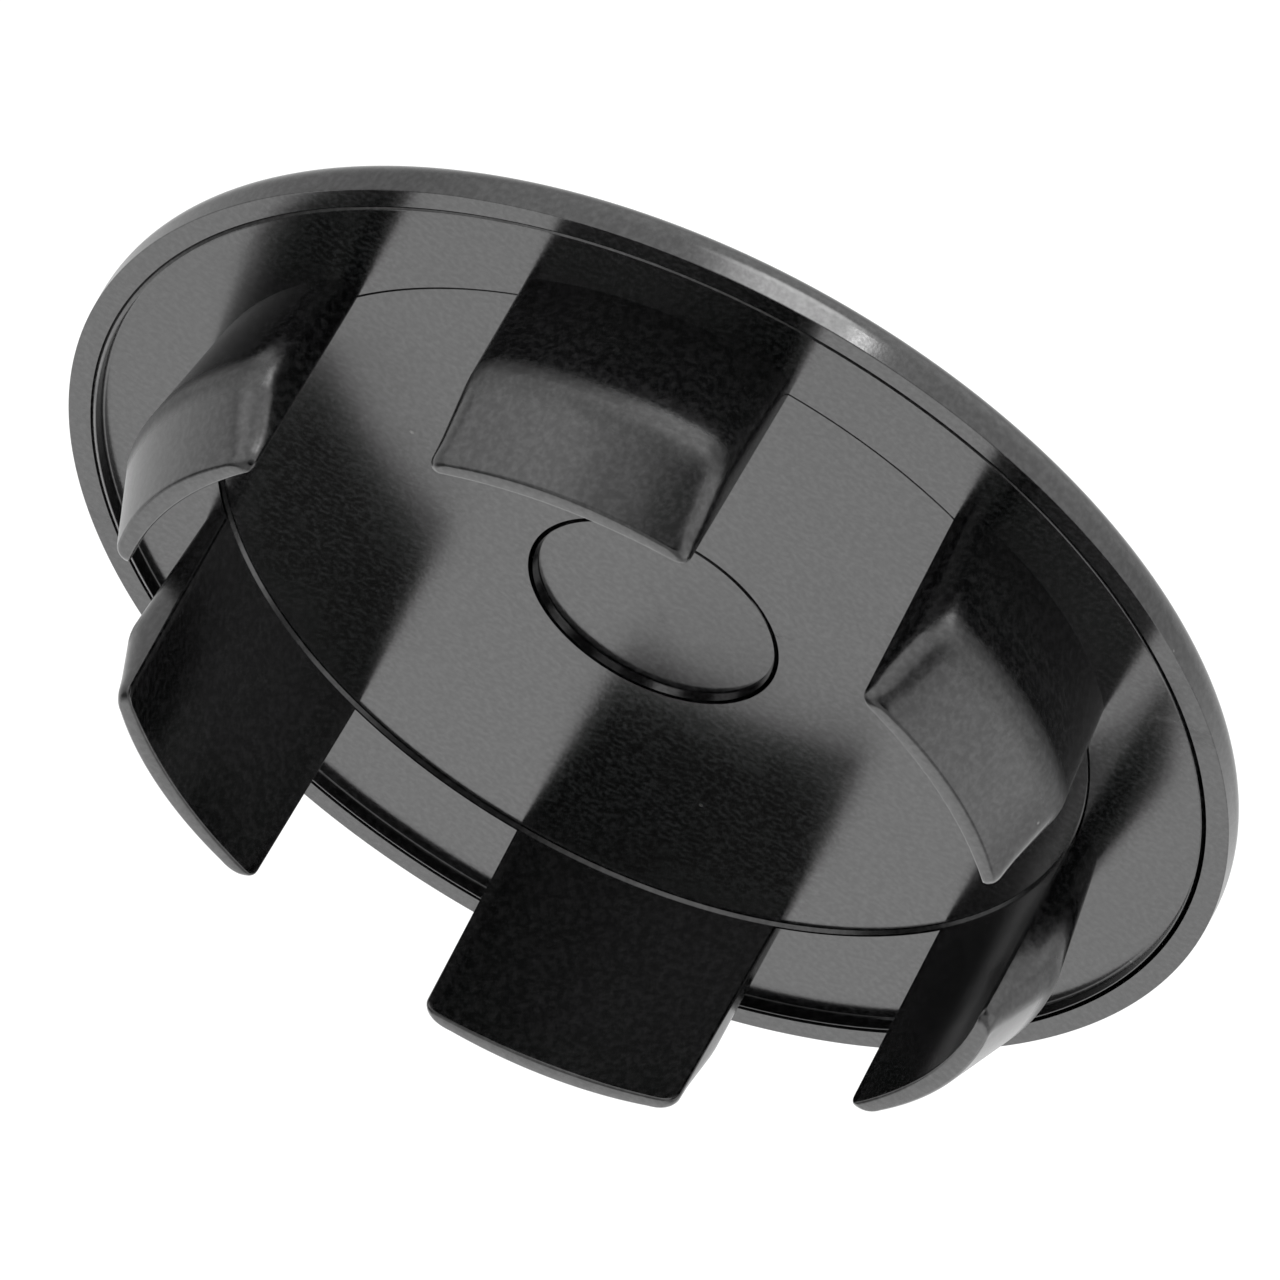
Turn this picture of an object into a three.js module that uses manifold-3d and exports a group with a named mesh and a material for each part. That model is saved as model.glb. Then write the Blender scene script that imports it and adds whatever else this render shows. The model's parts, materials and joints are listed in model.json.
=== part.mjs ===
// Snap-in hole plug for a desk panel: a round flanged head over six springy snap legs.
//
// Units are millimetres and +Z is up. The origin is the centre of the head's seat plane,
// the plane that rests on the panel, so the head stands above z = 0 and the legs hang below.
// Leg 1 points along +X, and the others follow counter-clockwise seen from above.
import * as THREE from 'three';
import { mergeVertices } from 'three/addons/utils/BufferGeometryUtils.js';
import Module from 'manifold-3d';

const wasm = await Module();
wasm.setup();

// ---- Driving dimensions ----
const HEAD_RADIUS = 30.0;
const HEAD_HEIGHT = 2.3;
const HEAD_EDGE_ROUNDING = 1.4;
const RIM_WIDTH = 1.45;
const RIM_DEPTH = 0.64;
const STEP_RADIUS = 22.5;
const STEP_DEPTH = 0.24;
const RECESS_RADIUS = 6.25;
const RECESS_DEPTH = 0.42;

const LEG_COUNT = 6;
const LEG_LENGTH = 10.55;
const LEG_HALF_WIDTH_TOP = 6.8;
const LEG_HALF_WIDTH_TIP = 6.6;
const LEG_CORNER_ROUNDING = 1.4;
const LEG_CROWN_RADIUS = 18.0;
const LEG_BASE_THICKNESS = 1.8;
const LEG_TIP_THICKNESS = 1.0;
const LEG_TIP_LEAN = 0.12;
const CREST_RADIUS = 25.4;
const CREST_DROP = 6.1;
const ROOT_BOTTOM = 0.2;
const STEM_TOP = -0.1;

const FACETS_ROUND = 96;
const FACETS_EDGE = 8;
const FACETS_ARC = 8;

// ---- Worked-out dimensions ----
const RIM_INNER_RADIUS = HEAD_RADIUS - RIM_WIDTH;
const STEP_FLOOR = RIM_DEPTH + STEP_DEPTH;
const RECESS_FLOOR = STEP_FLOOR + RECESS_DEPTH;
const LEG_BASE_OUTER_RADIUS = STEP_RADIUS + LEG_BASE_THICKNESS;
const LEG_TIP_INNER_RADIUS = STEP_RADIUS + LEG_TIP_LEAN;
const LEG_TIP_OUTER_RADIUS = LEG_TIP_INNER_RADIUS + LEG_TIP_THICKNESS;

// ---- Materials: glossy black moulded nylon ----
const blackNylon = () => new THREE.MeshStandardMaterial({
  color: 0x1a1a1b,
  roughness: 0.28,
  metalness: 0.0,
});

// ---- Shape helpers ----

// Height of a point part of the way from one height to another.
const between = (from, to, share) => from + (to - from) * share;

// Solid of revolution about Z. The outline is a closed loop of [radius, height] points,
// or a chain that starts and ends on the axis, running upwards on its outer side.
function turned(outline) {
  const points = outline.map(([radius, height]) => new THREE.Vector2(radius, height));
  const geometry = new THREE.LatheGeometry(points, FACETS_ROUND);
  geometry.rotateX(Math.PI / 2);
  return geometry;
}

function toSolid(geometry) {
  const bare = geometry.clone();
  bare.deleteAttribute('normal');
  bare.deleteAttribute('uv');
  const merged = mergeVertices(bare, 1e-4);
  const vertProperties = new Float32Array(merged.attributes.position.array);
  const triVerts = new Uint32Array(merged.index.array);
  return new wasm.Manifold(new wasm.Mesh({ numProp: 3, vertProperties, triVerts }));
}

function toGeometry(solid) {
  const mesh = solid.getMesh();
  const geometry = new THREE.BufferGeometry();
  geometry.setAttribute('position', new THREE.BufferAttribute(mesh.vertProperties, 3));
  geometry.setIndex(new THREE.BufferAttribute(mesh.triVerts, 1));
  geometry.computeVertexNormals();
  return geometry;
}

function named(name, geometry) {
  const mesh = new THREE.Mesh(geometry, blackNylon());
  mesh.name = name;
  return mesh;
}

// ---- Head ----

// Flat show face with a rounded edge. The underside has a shallow step where the ring of
// legs stands, and a round recess in the middle.
function headDisc() {
  const outline = [
    [0, RECESS_FLOOR],
    [RECESS_RADIUS, RECESS_FLOOR],
    [RECESS_RADIUS, STEP_FLOOR],
    [STEP_RADIUS, STEP_FLOOR],
    [STEP_RADIUS, RIM_DEPTH],
    [HEAD_RADIUS, RIM_DEPTH],
  ];
  for (let i = 0; i <= FACETS_EDGE; i += 1) {
    const turn = (Math.PI / 2) * (i / FACETS_EDGE);
    outline.push([
      HEAD_RADIUS - HEAD_EDGE_ROUNDING * (1 - Math.cos(turn)),
      HEAD_HEIGHT - HEAD_EDGE_ROUNDING * (1 - Math.sin(turn)),
    ]);
  }
  outline.push([0, HEAD_HEIGHT]);
  return named('head_disc', turned(outline));
}

// Down-turned rim whose flat underside is the seat on the panel.
function seatRim() {
  const outline = [
    [RIM_INNER_RADIUS, 0],
    [HEAD_RADIUS, 0],
    [HEAD_RADIUS, RIM_DEPTH],
    [RIM_INNER_RADIUS, RIM_DEPTH],
    [RIM_INNER_RADIUS, 0],
  ];
  return named('seat_rim', turned(outline));
}

// ---- Legs ----

// Radius of the leg's inner face at a height: it leans out slightly towards the tip.
function innerRadius(height) {
  return between(STEP_RADIUS, LEG_TIP_INNER_RADIUS, Math.max(0, -height / LEG_LENGTH));
}

// Radius of the leg's outer face above the crest, where it flares outwards going down.
function flareRadius(height) {
  const share = (RIM_DEPTH - height) / (RIM_DEPTH + CREST_DROP);
  return between(LEG_BASE_OUTER_RADIUS, CREST_RADIUS, share);
}

// Radius of the leg's outer face below the crest, where it slopes in to the tip.
function leadInRadius(height) {
  const share = (-CREST_DROP - height) / (LEG_LENGTH - CREST_DROP);
  return between(CREST_RADIUS, LEG_TIP_OUTER_RADIUS, share);
}

// Half the leg's width at a height: it draws in slightly towards the tip.
function halfWidth(height) {
  const share = (RIM_DEPTH - height) / (RIM_DEPTH + LEG_LENGTH);
  return between(LEG_HALF_WIDTH_TOP, LEG_HALF_WIDTH_TIP, share);
}

// Plan of a leg along +X at the top of its width: straight sides, a crowned outer face that
// reaches the crest's radius at its middle, and two rounded outer corners.
function legPlan() {
  const crownX = CREST_RADIUS - LEG_CROWN_RADIUS;
  const cornerY = LEG_HALF_WIDTH_TOP - LEG_CORNER_ROUNDING;
  const reach = Math.sqrt((LEG_CROWN_RADIUS - LEG_CORNER_ROUNDING) ** 2 - cornerY ** 2);
  const cornerX = crownX + reach;
  const turn = Math.atan2(cornerY, reach);
  const plan = new THREE.Shape();
  plan.moveTo(STEP_RADIUS / 2, -LEG_HALF_WIDTH_TOP);
  plan.lineTo(cornerX, -LEG_HALF_WIDTH_TOP);
  plan.absarc(cornerX, -cornerY, LEG_CORNER_ROUNDING, -Math.PI / 2, -turn, false);
  plan.absarc(crownX, 0, LEG_CROWN_RADIUS, -turn, turn, false);
  plan.absarc(cornerX, cornerY, LEG_CORNER_ROUNDING, turn, Math.PI / 2, false);
  plan.lineTo(STEP_RADIUS / 2, LEG_HALF_WIDTH_TOP);
  plan.closePath();
  return plan;
}

// Solid with the sides, corners and outer face of one leg. The outer face leans with a
// radius that changes with height, and the sides draw in slightly towards the tip.
function legTrim(outerRadius) {
  const margin = 1;
  const bottom = -LEG_LENGTH - margin;
  const depth = RIM_DEPTH + margin - bottom;
  const geometry = new THREE.ExtrudeGeometry(
    legPlan(), { depth, bevelEnabled: false, curveSegments: FACETS_ARC });
  geometry.translate(0, 0, bottom);
  const points = geometry.attributes.position;
  for (let i = 0; i < points.count; i += 1) {
    const height = points.getZ(i);
    points.setX(i, points.getX(i) + outerRadius(height) - CREST_RADIUS);
    points.setY(i, points.getY(i) * (halfWidth(height) / LEG_HALF_WIDTH_TOP));
  }
  return geometry;
}

// Piece of one leg along +X between two heights: a wall that is round about the plug's axis
// inside, trimmed to the leg's sides and outer face.
function legPiece(name, bottom, top, outerRadius) {
  const wall = turned([
    [innerRadius(bottom), bottom],
    [HEAD_RADIUS, bottom],
    [HEAD_RADIUS, top],
    [innerRadius(top), top],
    [innerRadius(bottom), bottom],
  ]);
  const solid = toSolid(wall).intersect(toSolid(legTrim(outerRadius)));
  return named(name, toGeometry(solid));
}

// One leg, from the top down: the root web moulded to the underside of the head, the flexing
// stem that thickens downwards to the crest, and the lead-in nose that slopes in to a blunt tip.
function leg(number) {
  const group = new THREE.Group();
  group.add(legPiece(`leg_${number}_root`, ROOT_BOTTOM, RIM_DEPTH, flareRadius));
  group.add(legPiece(`leg_${number}_stem`, -CREST_DROP, STEM_TOP, flareRadius));
  group.add(legPiece(`leg_${number}_nose`, -LEG_LENGTH, -CREST_DROP, leadInRadius));
  group.rotation.z = ((number - 1) * 2 * Math.PI) / LEG_COUNT;
  return group;
}

// ---- Assembly ----
const plug = new THREE.Group();
plug.add(headDisc());
plug.add(seatRim());
for (let number = 1; number <= LEG_COUNT; number += 1) {
  plug.add(leg(number));
}

export default plug;
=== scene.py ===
import json
import math

import bmesh
import bpy
from mathutils import Matrix, Vector


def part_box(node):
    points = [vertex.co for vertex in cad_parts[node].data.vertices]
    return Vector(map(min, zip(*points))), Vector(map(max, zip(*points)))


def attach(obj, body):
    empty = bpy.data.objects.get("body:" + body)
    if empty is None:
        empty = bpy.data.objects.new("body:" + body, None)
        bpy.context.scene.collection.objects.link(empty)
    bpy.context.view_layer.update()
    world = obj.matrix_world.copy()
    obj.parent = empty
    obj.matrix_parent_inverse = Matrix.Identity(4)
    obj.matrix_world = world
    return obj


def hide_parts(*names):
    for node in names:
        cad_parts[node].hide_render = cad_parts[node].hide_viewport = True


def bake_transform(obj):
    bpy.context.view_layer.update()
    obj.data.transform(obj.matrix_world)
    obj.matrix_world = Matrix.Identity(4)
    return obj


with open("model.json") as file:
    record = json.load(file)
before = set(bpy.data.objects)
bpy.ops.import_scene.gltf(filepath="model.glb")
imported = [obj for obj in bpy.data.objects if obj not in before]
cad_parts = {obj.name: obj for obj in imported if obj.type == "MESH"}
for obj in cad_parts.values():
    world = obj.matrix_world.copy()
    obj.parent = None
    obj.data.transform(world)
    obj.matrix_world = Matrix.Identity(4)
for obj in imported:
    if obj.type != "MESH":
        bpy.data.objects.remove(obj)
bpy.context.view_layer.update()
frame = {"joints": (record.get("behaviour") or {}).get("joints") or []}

MM = 0.001

# ---- Sizes taken from the frame ----
disc_low, disc_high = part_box("head_disc")
stem_low, stem_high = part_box("leg_1_stem")
nose_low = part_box("leg_1_nose")[0]
HEAD_RADIUS = disc_high.x
HEAD_TOP = disc_high.z
RIM_FLOOR = disc_low.z
CREST_RADIUS = stem_high.x
CREST_HEIGHT = stem_low.z
TIP_HEIGHT = nose_low.z
LEG_COUNT = len(frame["joints"])

# ---- Sizes of the head ----
EDGE_ROUNDING = 1.4 * MM
RIM_INNER_RADIUS = 28.55 * MM
STEP_RADIUS = 22.5 * MM
STEP_FLOOR = RIM_FLOOR + 0.24 * MM
RECESS_RADIUS = 6.25 * MM
RECESS_FLOOR = STEP_FLOOR + 0.42 * MM
RECESS_CORNER = 0.06 * MM
STEP_CORNER = 0.05 * MM
RIM_CORNER = 0.12 * MM
RIM_DRAFT = 0.04 * MM
RIM_INNER_EDGE = 0.03 * MM
RIM_OUTER_EDGE = 0.02 * MM
GROOVE_WIDTH = 0.24 * MM
GROOVE_DEPTH = 0.5 * MM
SEAM_RADIUS = RIM_INNER_RADIUS + 0.06 * MM
SEAM_OPEN_SIDE = math.radians(300)
SEAM_CLOSED_SHARE = 0.15

# ---- Sizes of a leg ----
LEG_BASE_OUTER = 24.3 * MM
LEG_TIP_INNER = 22.62 * MM
LEG_TIP_OUTER = 23.62 * MM
LEG_HALF_WIDTH_TOP = 6.8 * MM
LEG_HALF_WIDTH_TIP = 6.6 * MM
LEG_CROWN_RADIUS = 18.0 * MM
LEG_BURIED_TOP = STEP_FLOOR + 0.3 * MM
CREST_ROUNDING = 1.6 * MM
TIP_ROUNDING = 0.14 * MM
TIP_CORNER = 0.6 * MM
CORNER_AT_ROOT = 1.1 * MM
CORNER_AT_CREST = 2.0 * MM
CORNER_AT_TIP = 1.4 * MM
INNER_CORNER = 0.16 * MM
INNER_CORNER_SHARE = 0.3  # at most this share of the leg's thickness
INNER_CORNER_ROOM = 1.2  # inner corner radii kept clear of the outer corner

# ---- Fineness of the meshes ----
HEAD_FACETS = 288
RING_SPACING = 1.5 * MM
SUPPORT_GAP = 0.05 * MM
SHORTEST_SPLIT = 6 * SUPPORT_GAP
ARC_STEP = 0.12 * MM
ARC_PARTS = 26
CORNER_PARTS = 8
END_PARTS = 6
SECTION_SPACING = 0.45 * MM
CRISP_ANGLE = math.radians(35)
FACE_WEIGHT = 80
NEARLY_ZERO = 1e-6


# ---- Profile helpers ----

def mix(low, high, share):
    return low + (high - low) * share


def arc_corner(before, corner, after, radius, steps):
    """Points of an arc that rounds a corner of an outline."""
    here = Vector(corner)
    back = (Vector(before) - here).normalized()
    ahead = (Vector(after) - here).normalized()
    half = back.angle(ahead) / 2
    reach = radius / math.tan(half)
    centre = here + (back + ahead).normalized() * (radius / math.sin(half))
    start = here + back * reach - centre
    sweep = math.pi - 2 * half
    if start.x * ahead.y - start.y * ahead.x < 0:
        sweep = -sweep
    points = []
    for i in range(steps + 1):
        turn = sweep * i / steps
        points.append(centre + Matrix.Rotation(turn, 2) @ start)
    return points


def rounded(corners):
    """An open outline with each inner corner rounded. A corner is (x, y, radius)."""
    points = [Vector(corners[0][:2])]
    for before, corner, after in zip(corners, corners[1:], corners[2:]):
        radius = corner[2]
        if radius == 0:
            points.append(Vector(corner[:2]))
            continue
        steps = max(4, round(radius / ARC_STEP) + 3)
        points += arc_corner(before[:2], corner[:2], after[:2], radius, steps)
    points.append(Vector(corners[-1][:2]))
    return points


def new_piece(name, bm):
    """A smooth-shaded object made from a finished bmesh."""
    bmesh.ops.recalc_face_normals(bm, faces=bm.faces)
    mesh = bpy.data.meshes.new(name)
    bm.to_mesh(mesh)
    bm.free()
    mesh.polygons.foreach_set("use_smooth", [True] * len(mesh.polygons))
    piece = bpy.data.objects.new(name, mesh)
    bpy.context.scene.collection.objects.link(piece)
    return piece


# ---- Head ----

def head_outline():
    """Radius and height of the head's section, from the underside's centre round to the top's."""
    return rounded([
        (0, RECESS_FLOOR, 0),
        (RECESS_RADIUS, RECESS_FLOOR, RECESS_CORNER),
        (RECESS_RADIUS, STEP_FLOOR, 0),
        (RECESS_RADIUS + GROOVE_WIDTH, STEP_FLOOR + GROOVE_DEPTH, 0),
        (RECESS_RADIUS + GROOVE_WIDTH, STEP_FLOOR, 0),
        (STEP_RADIUS, STEP_FLOOR, STEP_CORNER),
        (STEP_RADIUS, RIM_FLOOR, 0),
        (STEP_RADIUS + GROOVE_WIDTH / 2, RIM_FLOOR + GROOVE_DEPTH / 2, 0),
        (STEP_RADIUS + GROOVE_WIDTH / 2, RIM_FLOOR, 0),
        (RIM_INNER_RADIUS - RIM_DRAFT, RIM_FLOOR, RIM_CORNER),
        (RIM_INNER_RADIUS, 0, RIM_INNER_EDGE),
        (SEAM_RADIUS, 0, 0),
        (SEAM_RADIUS + GROOVE_WIDTH, GROOVE_DEPTH, 0),
        (SEAM_RADIUS + GROOVE_WIDTH, 0, 0),
        (HEAD_RADIUS, 0, RIM_OUTER_EDGE),
        (HEAD_RADIUS, HEAD_TOP, EDGE_ROUNDING),
        (0, HEAD_TOP, 0),
    ])


def subdivide_outline(points):
    """Splits long straight stretches. A short part at each end keeps the corners crisp."""
    result = [points[0]]
    for start, end in zip(points, points[1:]):
        length = (end - start).length
        shares = [1.0]
        if length > SHORTEST_SPLIT:
            gap = SUPPORT_GAP / length
            parts = max(1, math.ceil(length / RING_SPACING))
            shares = [mix(gap, 1 - gap, i / parts) for i in range(parts + 1)] + [1.0]
        result += [start.lerp(end, share) for share in shares]
    return result


def seam_share(point, turn):
    """How open the seam is: it closes to a faint line on one side of the head."""
    if not (SEAM_RADIUS < point.x < SEAM_RADIUS + 2 * GROOVE_WIDTH and point.y <= GROOVE_DEPTH):
        return 1.0
    return mix(SEAM_CLOSED_SHARE, 1.0, (1 + math.cos(turn - SEAM_OPEN_SIDE)) / 2)


def build_head():
    outline = subdivide_outline(head_outline())
    bm = bmesh.new()
    rings = []
    for point in outline:
        if point.x < NEARLY_ZERO:
            rings.append([bm.verts.new((0, 0, point.y))])
            continue
        ring = []
        for i in range(HEAD_FACETS):
            turn = 2 * math.pi * i / HEAD_FACETS
            x = point.x * math.cos(turn)
            y = point.x * math.sin(turn)
            height = point.y * seam_share(point, turn)
            ring.append(bm.verts.new((x, y, height)))
        rings.append(ring)
    for lower, upper in zip(rings, rings[1:]):
        for i in range(HEAD_FACETS):
            j = (i + 1) % HEAD_FACETS
            if len(lower) == 1:
                bm.faces.new((lower[0], upper[j], upper[i]))
            elif len(upper) == 1:
                bm.faces.new((lower[i], lower[j], upper[0]))
            else:
                bm.faces.new((lower[i], lower[j], upper[j], upper[i]))
    piece = new_piece("plug_head", bm)
    piece.data.set_sharp_from_angle(angle=CRISP_ANGLE)
    return piece


# ---- Legs ----

def end_inset(height, radius):
    """How far a rounded edge of the given radius draws the tip in at a height."""
    rise = height - TIP_HEIGHT
    if rise >= radius:
        return 0.0
    return radius - math.sqrt(radius ** 2 - (radius - rise) ** 2)


def outer_line():
    """Radii and heights of the leg's outer face from its top down to its tip."""
    slope = (CREST_RADIUS - LEG_BASE_OUTER) / (RIM_FLOOR - CREST_HEIGHT)
    top_radius = LEG_BASE_OUTER - slope * (LEG_BURIED_TOP - RIM_FLOOR)
    return rounded([
        (top_radius, LEG_BURIED_TOP, 0),
        (CREST_RADIUS, CREST_HEIGHT, CREST_ROUNDING),
        (LEG_TIP_OUTER, TIP_HEIGHT, 0),
    ])


def radius_on(line, height):
    """The outer face's radius at a height."""
    for upper, lower in zip(line, line[1:]):
        if upper.y >= height >= lower.y:
            return mix(upper.x, lower.x, (upper.y - height) / (upper.y - lower.y))
    return line[-1].x


def section_heights(line):
    """Heights of the leg's cross-sections, closer together where it curves."""
    heights = {LEG_BURIED_TOP}
    heights.update(point.y for point in line[1:-1])
    for radius in (TIP_ROUNDING, TIP_CORNER):
        for i in range(END_PARTS + 1):
            heights.add(TIP_HEIGHT + radius * (1 - math.cos(math.pi / 2 * i / END_PARTS)))
    ordered = sorted(heights, reverse=True)
    result = [ordered[0]]
    for upper, lower in zip(ordered, ordered[1:]):
        if upper - lower < NEARLY_ZERO:
            continue
        parts = max(1, math.ceil((upper - lower) / SECTION_SPACING))
        result += [mix(upper, lower, i / parts) for i in range(1, parts + 1)]
    return result


def on_arc(radius, across):
    """How far out from its centre a circle lies, at a distance across."""
    return math.sqrt(radius ** 2 - across ** 2)


def corner_radius(height):
    """Rounding of the leg's outer corners, which is largest at the crest."""
    if height > CREST_HEIGHT:
        share = (height - CREST_HEIGHT) / (RIM_FLOOR - CREST_HEIGHT)
        return mix(CORNER_AT_CREST, CORNER_AT_ROOT, share)
    share = (height - TIP_HEIGHT) / (CREST_HEIGHT - TIP_HEIGHT)
    return mix(CORNER_AT_TIP, CORNER_AT_CREST, share)


def corner_points(half, inner, outer, crisp, corner):
    """One side of the section: its points, and how far across the outer face goes.

    The inner corner's radius is crisp. The outer corner's is corner, less where the leg is thin.
    """
    inner_x = on_arc(inner, half - crisp)
    points = []
    for i in range(1, CORNER_PARTS + 1):
        turn = math.pi / 2 * i / CORNER_PARTS
        x = inner_x + crisp * (1 - math.cos(turn))
        y = half - crisp + crisp * math.sin(turn)
        points.append(Vector((x, y)))
    centre_y = half - corner
    reach = on_arc(LEG_CROWN_RADIUS - corner, centre_y)
    centre_x = outer - LEG_CROWN_RADIUS + reach
    first_turn = math.atan2(centre_y, reach)
    start_x = centre_x + corner * math.cos(first_turn)
    room = start_x - (inner_x + INNER_CORNER_ROOM * crisp)
    squeeze = min(1.0, room / (start_x - centre_x))
    for i in range(CORNER_PARTS):
        turn = mix(math.pi / 2, first_turn, i / CORNER_PARTS)
        x = centre_x + corner * math.cos(turn)
        y = centre_y + corner * math.sin(turn)
        points.append(Vector((start_x - (start_x - x) * squeeze, y)))
    return points, centre_y + corner * math.sin(first_turn)


def leg_section(height, line):
    """Plan outline of the leg at a height, as x (outwards) and y (across) of each point."""
    edge = end_inset(height, TIP_ROUNDING)
    lean = (LEG_TIP_INNER - STEP_RADIUS) * max(0.0, height / TIP_HEIGHT)
    inner = STEP_RADIUS + lean + edge
    outer = radius_on(line, height) - edge
    taper = (RIM_FLOOR - height) / (RIM_FLOOR - TIP_HEIGHT)
    half = mix(LEG_HALF_WIDTH_TOP, LEG_HALF_WIDTH_TIP, taper) - end_inset(height, TIP_CORNER)
    crisp = min(INNER_CORNER, (outer - inner) * INNER_CORNER_SHARE)
    side, outer_end = corner_points(half, inner, outer, crisp, corner_radius(height))
    points = []
    for i in range(ARC_PARTS + 1):
        across = mix(crisp - half, half - crisp, i / ARC_PARTS)
        points.append(Vector((on_arc(inner, across), across)))
    points += side
    for i in range(ARC_PARTS + 1):
        across = mix(outer_end, -outer_end, i / ARC_PARTS)
        x = outer - LEG_CROWN_RADIUS + on_arc(LEG_CROWN_RADIUS, across)
        points.append(Vector((x, across)))
    points += [Vector((point.x, -point.y)) for point in reversed(side)]
    return points


def cap(bm, ring):
    """Closes an end of a leg with a strip of faces across its thickness."""
    inner = ring[:ARC_PARTS + 1]
    first = ARC_PARTS + 1 + 2 * CORNER_PARTS
    outer = ring[first:first + ARC_PARTS + 1][::-1]
    for i in range(ARC_PARTS):
        bm.faces.new((inner[i], inner[i + 1], outer[i + 1], outer[i]))
    right = [inner[-1]] + ring[ARC_PARTS + 1:first] + [outer[-1]]
    left = [outer[0]] + ring[first + ARC_PARTS + 1:] + [inner[0]]
    bm.faces.new(right)
    bm.faces.new(left)


def build_leg(number):
    turn = Matrix.Rotation(2 * math.pi * (number - 1) / LEG_COUNT, 3, "Z")
    line = outer_line()
    bm = bmesh.new()
    rings = []
    for height in section_heights(line):
        points = leg_section(height, line)
        rings.append([bm.verts.new(turn @ Vector((p.x, p.y, height))) for p in points])
    for upper, lower in zip(rings, rings[1:]):
        for i in range(len(upper)):
            j = (i + 1) % len(upper)
            bm.faces.new((upper[i], upper[j], lower[j], lower[i]))
    cap(bm, rings[0])
    cap(bm, rings[-1])
    piece = new_piece(f"plug_leg_{number}", bm)
    weighted = piece.modifiers.new("even_normals", "WEIGHTED_NORMAL")
    weighted.weight = FACE_WEIGHT
    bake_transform(piece)
    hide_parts(f"leg_{number}_root", f"leg_{number}_stem", f"leg_{number}_nose")
    return piece


# ---- Material: black moulded nylon ----

REFRACTIVE_INDEX = 1.52
SPECK_SCALE = 420.0
# Each noise is a scale, a detail and a roughness.
GRAIN = (6500.0, 1.0, 0.5)
MOTTLE = (3200.0, 2.0, 0.55)
CLOUDS = (260.0, 4.0, 0.5)
FLOW = (70.0, 2.0, 0.5)
# Each bump is a strength and a distance.
GRAIN_BUMP = (0.35, 0.004 * MM)
MOTTLE_BUMP = (0.3, 0.003 * MM)
FLOW_BUMP = (0.5, 0.004 * MM)
# Each colour is red, green, blue and alpha.
DARK_NYLON = (0.0010, 0.0010, 0.0011, 1)
PALE_NYLON = (0.0095, 0.0095, 0.0098, 1)
WORN_NYLON = (0.012, 0.012, 0.0124, 1)
SPECK_COLOUR = (0.09, 0.09, 0.088, 1)
# Each range is the values at its two ends.
NOISE_MIDDLE = (0.3, 0.7)
TONE_RANGE = (0.42, 0.74)
EDGE_POINTINESS = (0.56, 0.66)
SPECK_DISTANCE = (0.030, 0.055)
SPECK_RARITY = (0.90, 0.91)
CLOUD_ROUGHNESS = (0.14, 0.18)
GRAIN_ROUGHNESS = (0.0, 0.04)
EDGE_ROUGHNESS = (0.0, 0.12)
SCUFF_ROUGHNESS = (0.42, 0.26)
SPECULAR_LEVEL = (0.45, 0.55)
SCUFF_BELOW = (CREST_HEIGHT - 1.1 * MM, CREST_HEIGHT - 0.3 * MM)
SCUFF_ABOVE = (CREST_HEIGHT + 0.3 * MM, CREST_HEIGHT + 1.4 * MM)
SCUFF_OUTSIDE = (STEP_RADIUS + 1.6 * MM, STEP_RADIUS + 2.3 * MM)


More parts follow.
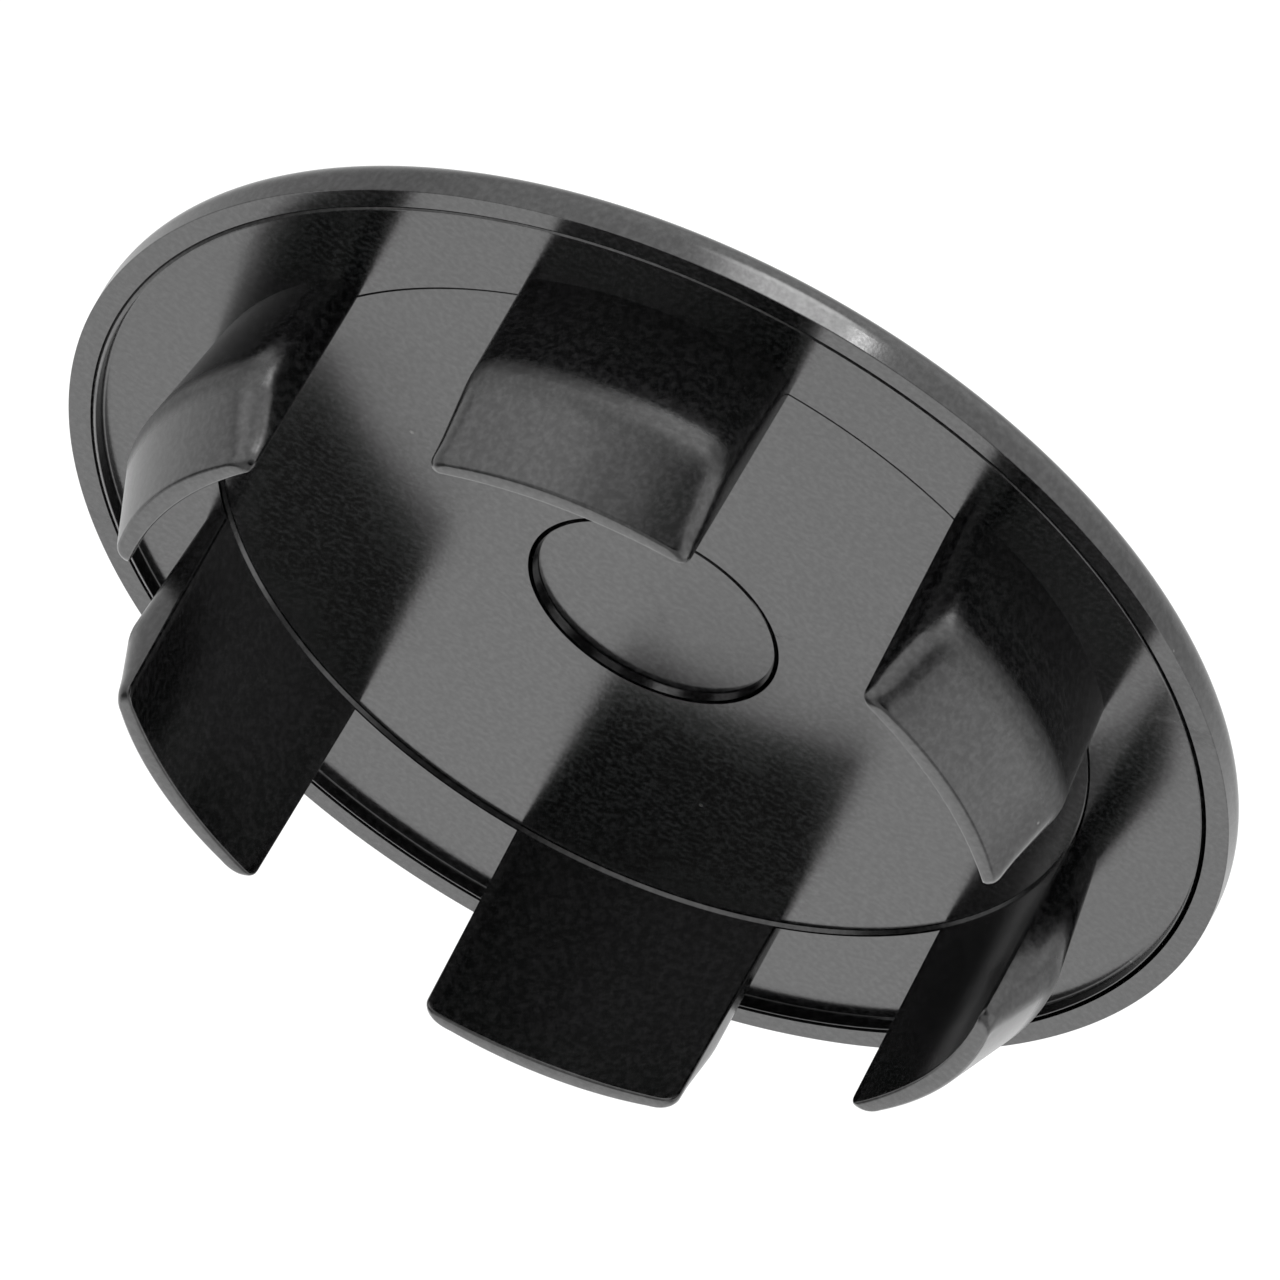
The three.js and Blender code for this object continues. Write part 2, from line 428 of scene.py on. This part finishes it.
class Shading:
    """Adds nodes to a material."""

    def __init__(self, material):
        material.use_nodes = True
        self.nodes = material.node_tree.nodes
        self.links = material.node_tree.links
        self.shader = self.nodes["Principled BSDF"]
        self.place = self.nodes.new("ShaderNodeTexCoord").outputs["Object"]

    def noise(self, scale, detail, roughness):
        node = self.nodes.new("ShaderNodeTexNoise")
        node.inputs["Scale"].default_value = scale
        node.inputs["Detail"].default_value = detail
        node.inputs["Roughness"].default_value = roughness
        self.links.new(self.place, node.inputs["Vector"])
        return node.outputs["Fac"]

    def spread(self, value, source, target=(0.0, 1.0)):
        """Maps a value from the source range to the target range."""
        node = self.nodes.new("ShaderNodeMapRange")
        node.inputs["From Min"].default_value = source[0]
        node.inputs["From Max"].default_value = source[1]
        node.inputs["To Min"].default_value = target[0]
        node.inputs["To Max"].default_value = target[1]
        self.links.new(value, node.inputs["Value"])
        return node.outputs["Result"]

    def combine(self, operation, first, second):
        node = self.nodes.new("ShaderNodeMath")
        node.operation = operation
        self.links.new(first, node.inputs[0])
        self.links.new(second, node.inputs[1])
        return node.outputs["Value"]

    def blend_colour(self, share, first, second):
        """Mixes the second colour, a constant, into the first, a constant or another mix."""
        node = self.nodes.new("ShaderNodeMix")
        node.data_type = "RGBA"
        if isinstance(first, tuple):
            node.inputs["A"].default_value = first
        else:
            self.links.new(first, node.inputs["A"])
        node.inputs["B"].default_value = second
        self.links.new(share, node.inputs["Factor"])
        return node.outputs["Result"]

    def specks(self):
        """Small round dots in a few of the cells."""
        cells = self.nodes.new("ShaderNodeTexVoronoi")
        cells.inputs["Scale"].default_value = SPECK_SCALE
        self.links.new(self.place, cells.inputs["Vector"])
        chance = self.nodes.new("ShaderNodeSeparateColor")
        self.links.new(cells.outputs["Color"], chance.inputs["Color"])
        near = self.spread(cells.outputs["Distance"], SPECK_DISTANCE, (1.0, 0.0))
        rare = self.spread(chance.outputs["Red"], SPECK_RARITY)
        return self.combine("MULTIPLY", near, rare)

    def scuffs(self):
        """The outer side of the legs round their crests, which scrapes through the hole."""
        spot = self.nodes.new("ShaderNodeSeparateXYZ")
        self.links.new(self.place, spot.inputs["Vector"])
        level = self.nodes.new("ShaderNodeVectorMath")
        level.operation = "MULTIPLY"
        level.inputs[1].default_value = (1, 1, 0)
        self.links.new(self.place, level.inputs[0])
        radius = self.nodes.new("ShaderNodeVectorMath")
        radius.operation = "LENGTH"
        self.links.new(level.outputs["Vector"], radius.inputs[0])
        below = self.spread(spot.outputs["Z"], SCUFF_BELOW)
        above = self.spread(spot.outputs["Z"], SCUFF_ABOVE, (1.0, 0.0))
        outside = self.spread(radius.outputs["Value"], SCUFF_OUTSIDE)
        return self.combine("MULTIPLY", self.combine("MULTIPLY", below, above), outside)

    def bumps(self, layers):
        """A normal from bump layers. A layer is (height, strength, distance)."""
        normal = None
        for height, strength, distance in layers:
            bump = self.nodes.new("ShaderNodeBump")
            bump.inputs["Strength"].default_value = strength
            bump.inputs["Distance"].default_value = distance
            self.links.new(height, bump.inputs["Height"])
            if normal:
                self.links.new(normal, bump.inputs["Normal"])
            normal = bump.outputs["Normal"]
        return normal


def nylon():
    material = bpy.data.materials.new("black_nylon")
    shading = Shading(material)
    inputs = shading.shader.inputs
    inputs["IOR"].default_value = REFRACTIVE_INDEX

    grain = shading.noise(*GRAIN)
    mottle = shading.noise(*MOTTLE)
    clouds = shading.noise(*CLOUDS)
    flow = shading.noise(*FLOW)
    pointiness = shading.nodes.new("ShaderNodeNewGeometry").outputs["Pointiness"]
    edge = shading.spread(pointiness, EDGE_POINTINESS)
    tone = shading.spread(mottle, TONE_RANGE)

    colour = shading.blend_colour(tone, DARK_NYLON, PALE_NYLON)
    colour = shading.blend_colour(shading.combine("MULTIPLY", edge, tone), colour, WORN_NYLON)
    colour = shading.blend_colour(shading.specks(), colour, SPECK_COLOUR)
    shading.links.new(colour, inputs["Base Color"])

    roughness = shading.combine(
        "ADD",
        shading.spread(clouds, NOISE_MIDDLE, CLOUD_ROUGHNESS),
        shading.spread(grain, NOISE_MIDDLE, GRAIN_ROUGHNESS),
    )
    worn = shading.spread(edge, (0.0, 1.0), EDGE_ROUGHNESS)
    roughness = shading.combine("ADD", roughness, worn)
    dull = shading.spread(clouds, NOISE_MIDDLE, SCUFF_ROUGHNESS)
    scuffed = shading.combine("MULTIPLY", shading.scuffs(), dull)
    roughness = shading.combine("ADD", roughness, scuffed)
    shading.links.new(roughness, inputs["Roughness"])
    specular = shading.spread(mottle, NOISE_MIDDLE, SPECULAR_LEVEL)
    shading.links.new(specular, inputs["Specular IOR Level"])

    layers = [(grain, *GRAIN_BUMP), (mottle, *MOTTLE_BUMP), (flow, *FLOW_BUMP)]
    shading.links.new(shading.bumps(layers), inputs["Normal"])
    return material


# ---- Studio ----

WHITE = (1, 1, 1, 1)
FLOOR_HEIGHT = -1.3
FLOOR_HALF_WIDTH = 30.0
FLOOR_COLOUR = (0.9, 0.9, 0.9, 1)
FLOOR_ROUGHNESS = 0.9
BACKDROP_STRENGTH = 1.12
STUDIO_STRENGTH = 1.3
# Each glow is an azimuth, an elevation, inner and outer angles and the strength that it adds.
STUDIO_GLOWS = [
    (256, 32, 40, 72, 0.8),  # above the near side
    (250, 40, 4, 16, 8.0),  # main light
    (76, -32, 24, 46, 0.75),  # below the far side
    (203, -10, 14, 34, 0.9),  # left
    (335, -9, 14, 34, 1.1),  # right
    (262, -14, 4, 40, -0.6),  # dim near side
    (275, -14, 18, 31, -1.0),  # darker part of the near side
    (135, -45, 16, 40, -0.9),  # dim below the far left
    (100, 60, 26, 60, -0.4),  # dim above the far side
]
SPARK_AZIMUTH = 264.5
SPARK_ELEVATION = 31.0
SPARK_DISTANCE = 1.2
SPARK_SIZE = 0.07
SPARK_RADIANCE = 38.0
VIEW_AZIMUTH = math.radians(-13.98)
VIEW_ELEVATION = math.radians(-32.28)
VIEW_ROLL = math.radians(29.29)
VIEW_DISTANCE = 1.4126
VIEW_RIGHT = -0.26 * MM
VIEW_UP = -0.70 * MM
LENS = 843.75
SENSOR_WIDTH = 36.0
NEAREST_SEEN = 0.01


def build_floor():
    mesh = bpy.data.meshes.new("floor")
    bm = bmesh.new()
    half = FLOOR_HALF_WIDTH
    corners = [(-half, -half), (half, -half), (half, half), (-half, half)]
    bm.faces.new([bm.verts.new((x, y, FLOOR_HEIGHT)) for x, y in corners])
    bm.to_mesh(mesh)
    bm.free()
    floor = bpy.data.objects.new("floor", mesh)
    bpy.context.scene.collection.objects.link(floor)
    material = bpy.data.materials.new("pale_floor")
    material.use_nodes = True
    shader = material.node_tree.nodes["Principled BSDF"]
    shader.inputs["Base Color"].default_value = FLOOR_COLOUR
    shader.inputs["Roughness"].default_value = FLOOR_ROUGHNESS
    floor.data.materials.append(material)
    floor.visible_glossy = False


def direction(azimuth, elevation):
    """The direction at an azimuth from +X and an elevation, both in degrees."""
    across = math.cos(math.radians(elevation))
    return Vector((
        across * math.cos(math.radians(azimuth)),
        across * math.sin(math.radians(azimuth)),
        math.sin(math.radians(elevation)),
    ))


def build_world():
    """A white backdrop for the camera, and a studio of bright and dim directions for light."""
    world = bpy.data.worlds.new("studio")
    bpy.context.scene.world = world
    world.use_nodes = True
    nodes = world.node_tree.nodes
    links = world.node_tree.links
    backdrop = nodes["Background"]
    backdrop.inputs["Color"].default_value = WHITE
    backdrop.inputs["Strength"].default_value = BACKDROP_STRENGTH
    place = nodes.new("ShaderNodeTexCoord")
    total = None
    for azimuth, elevation, inner, outer, gain in STUDIO_GLOWS:
        facing = nodes.new("ShaderNodeVectorMath")
        facing.operation = "DOT_PRODUCT"
        facing.inputs[1].default_value = direction(azimuth, elevation)
        links.new(place.outputs["Generated"], facing.inputs[0])
        glow = nodes.new("ShaderNodeMapRange")
        glow.interpolation_type = "SMOOTHSTEP"
        glow.inputs["From Min"].default_value = math.cos(math.radians(outer))
        glow.inputs["From Max"].default_value = math.cos(math.radians(inner))
        glow.inputs["To Max"].default_value = gain
        links.new(facing.outputs["Value"], glow.inputs["Value"])
        adder = nodes.new("ShaderNodeMath")
        adder.inputs[1].default_value = STUDIO_STRENGTH
        links.new(glow.outputs["Result"], adder.inputs[0])
        if total:
            links.new(total, adder.inputs[1])
        total = adder.outputs["Value"]
    studio = nodes.new("ShaderNodeBackground")
    studio.inputs["Color"].default_value = WHITE
    links.new(total, studio.inputs["Strength"])
    path = nodes.new("ShaderNodeLightPath")
    chooser = nodes.new("ShaderNodeMixShader")
    links.new(path.outputs["Is Camera Ray"], chooser.inputs["Fac"])
    links.new(studio.outputs["Background"], chooser.inputs[1])
    links.new(backdrop.outputs["Background"], chooser.inputs[2])
    links.new(chooser.outputs["Shader"], nodes["World Output"].inputs["Surface"])


def build_spark():
    """A small round light panel that faces the part and is hidden from the camera."""
    place = SPARK_DISTANCE * direction(SPARK_AZIMUTH, SPARK_ELEVATION)
    data = bpy.data.lights.new("spark", "AREA")
    data.shape = "DISK"
    data.size = SPARK_SIZE
    data.energy = SPARK_RADIANCE * math.pi * math.pi * (SPARK_SIZE / 2) ** 2
    light = bpy.data.objects.new("spark", data)
    light.location = place
    light.rotation_mode = "QUATERNION"
    light.rotation_quaternion = place.to_track_quat("Z", "Y")
    light.visible_camera = False
    bpy.context.scene.collection.objects.link(light)


def view_axes():
    """The camera's right, up and backward directions."""
    back = Vector((
        math.sin(VIEW_AZIMUTH) * math.cos(VIEW_ELEVATION),
        -math.cos(VIEW_AZIMUTH) * math.cos(VIEW_ELEVATION),
        math.sin(VIEW_ELEVATION),
    ))
    level = Vector((math.cos(VIEW_AZIMUTH), math.sin(VIEW_AZIMUTH), 0))
    upright = back.cross(level)
    right = level * math.cos(VIEW_ROLL) + upright * math.sin(VIEW_ROLL)
    return right, back.cross(right), back


def build_camera():
    right, up, back = view_axes()
    data = bpy.data.cameras.new("camera")
    data.sensor_width = SENSOR_WIDTH
    data.lens = LENS
    data.clip_start = NEAREST_SEEN
    camera = bpy.data.objects.new("camera", data)
    place = back * VIEW_DISTANCE + right * VIEW_RIGHT + up * VIEW_UP
    camera.matrix_world = Matrix((
        (right.x, up.x, back.x, place.x),
        (right.y, up.y, back.y, place.y),
        (right.z, up.z, back.z, place.z),
        (0, 0, 0, 1),
    ))
    bpy.context.scene.collection.objects.link(camera)
    bpy.context.scene.camera = camera


# ---- Assembly ----

black_nylon = nylon()
head = build_head()
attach(head, "head")
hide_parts("head_disc", "seat_rim")
shown = [head] + [build_leg(number) for number in range(1, LEG_COUNT + 1)]
for piece in shown:
    piece.data.materials.append(black_nylon)

build_floor()
build_world()
build_camera()
build_spark()
bpy.context.scene.view_settings.view_transform = "Standard"
